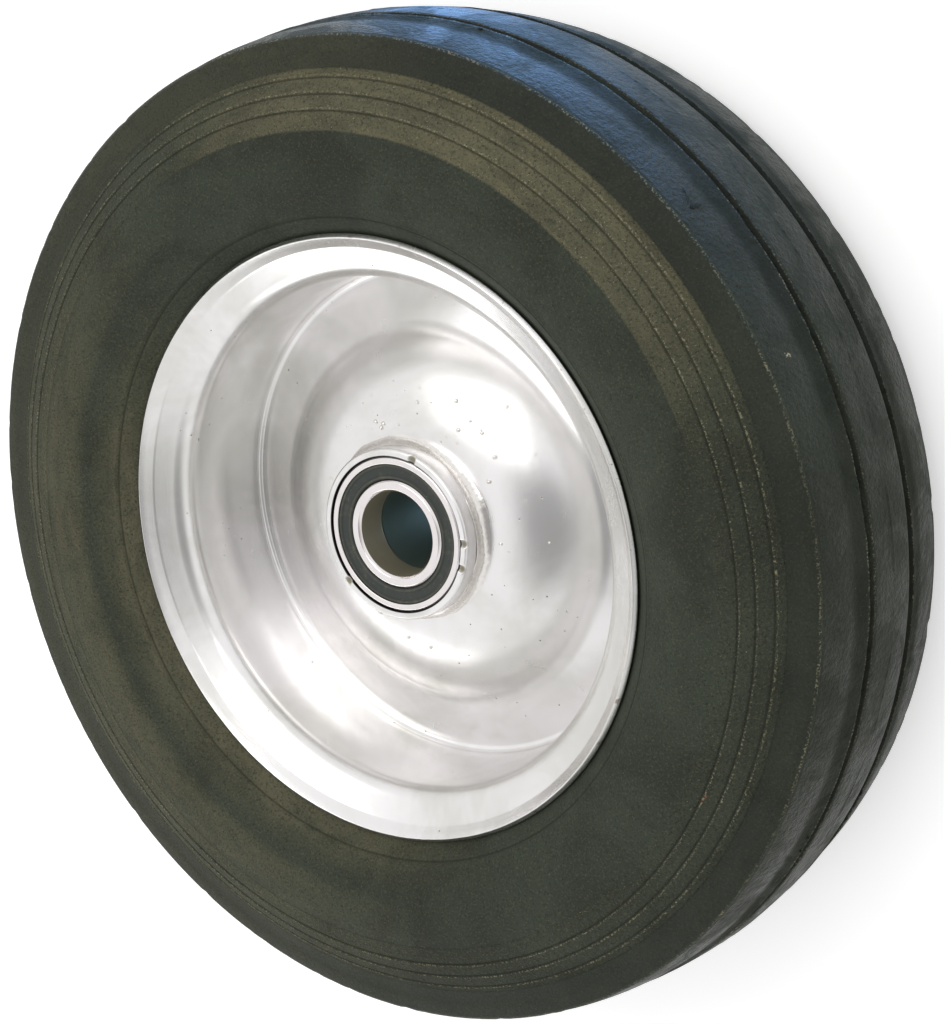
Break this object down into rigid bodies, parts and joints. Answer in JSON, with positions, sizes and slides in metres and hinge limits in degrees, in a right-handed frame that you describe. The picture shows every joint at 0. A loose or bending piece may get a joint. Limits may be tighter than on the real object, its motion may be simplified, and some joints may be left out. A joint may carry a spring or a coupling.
{
  "type": "solid rubber wheel",
  "caption": "Solid rubber wheel on a rim of two lapped steel pressings, with a welded hub tube, a spacer and sealed ball bearings for a straight axle.",
  "frame": {"origin": "centre of the wheel: on the axle line, in the middle of the tyre's width", "axes": "+Z along the axle line, towards the front side that shows the dished disc from its dome side; the wheel lies on its rear side, and X and Y lie in the plane of the wheel"},
  "size_m": [0.3499, 0.35, 0.1],
  "materials": {
    "rubber": "matt dark green-grey rubber with a fine rough skin",
    "zinc_sheet": "bright zinc plating, satin",
    "weld": "zinc-plated weld bead",
    "ground_steel": "fine ground bearing steel",
    "plain_steel": "plain drawn steel",
    "seal_rubber": "matt dark grey moulded rubber",
    "cage_steel": "pressed steel strip"
  },
  "bodies": {
    "axle_side": {"front_inner_ring": "ground_steel", "rear_inner_ring": "ground_steel", "spacer_tube": "plain_steel"},
    "wheel": {"tyre": "rubber", "rear_pressing": "zinc_sheet", "front_pressing": "zinc_sheet", "lap_weld": "weld", "hub_tube": "zinc_sheet", "front_hub_weld": "weld", "back_hub_weld": "weld", "front_outer_ring": "ground_steel", "front_outer_seal": "seal_rubber", "front_inner_seal": "seal_rubber", "rear_outer_ring": "ground_steel", "rear_outer_seal": "seal_rubber", "rear_inner_seal": "seal_rubber"},
    "front_cage": {"front_cage_top": "cage_steel", "front_cage_bottom": "cage_steel", "front_cage_rivets": "cage_steel", "front_balls": "ground_steel"},
    "rear_cage": {"rear_cage_top": "cage_steel", "rear_cage_bottom": "cage_steel", "rear_cage_rivets": "cage_steel", "rear_balls": "ground_steel"}
  },
  "joints": [
    {"name": "wheel_spin", "type": "hinge", "parent": "axle_side", "child": "wheel", "pos_m": [0, 0, 0], "axis": [0, 0, 1], "continuous": true},
    {"name": "front_cage_spin", "type": "hinge", "parent": "axle_side", "child": "front_cage", "pos_m": [0, 0, 0.0187], "axis": [0, 0, 1], "continuous": true},
    {"name": "rear_cage_spin", "type": "hinge", "parent": "axle_side", "child": "rear_cage", "pos_m": [0, 0, -0.0187], "axis": [0, 0, 1], "continuous": true}
  ],
  "couplings": [
    {"joint": "front_cage_spin", "follows": "wheel_spin", "ratio": 0.584},
    {"joint": "rear_cage_spin", "follows": "wheel_spin", "ratio": 0.584}
  ]
}
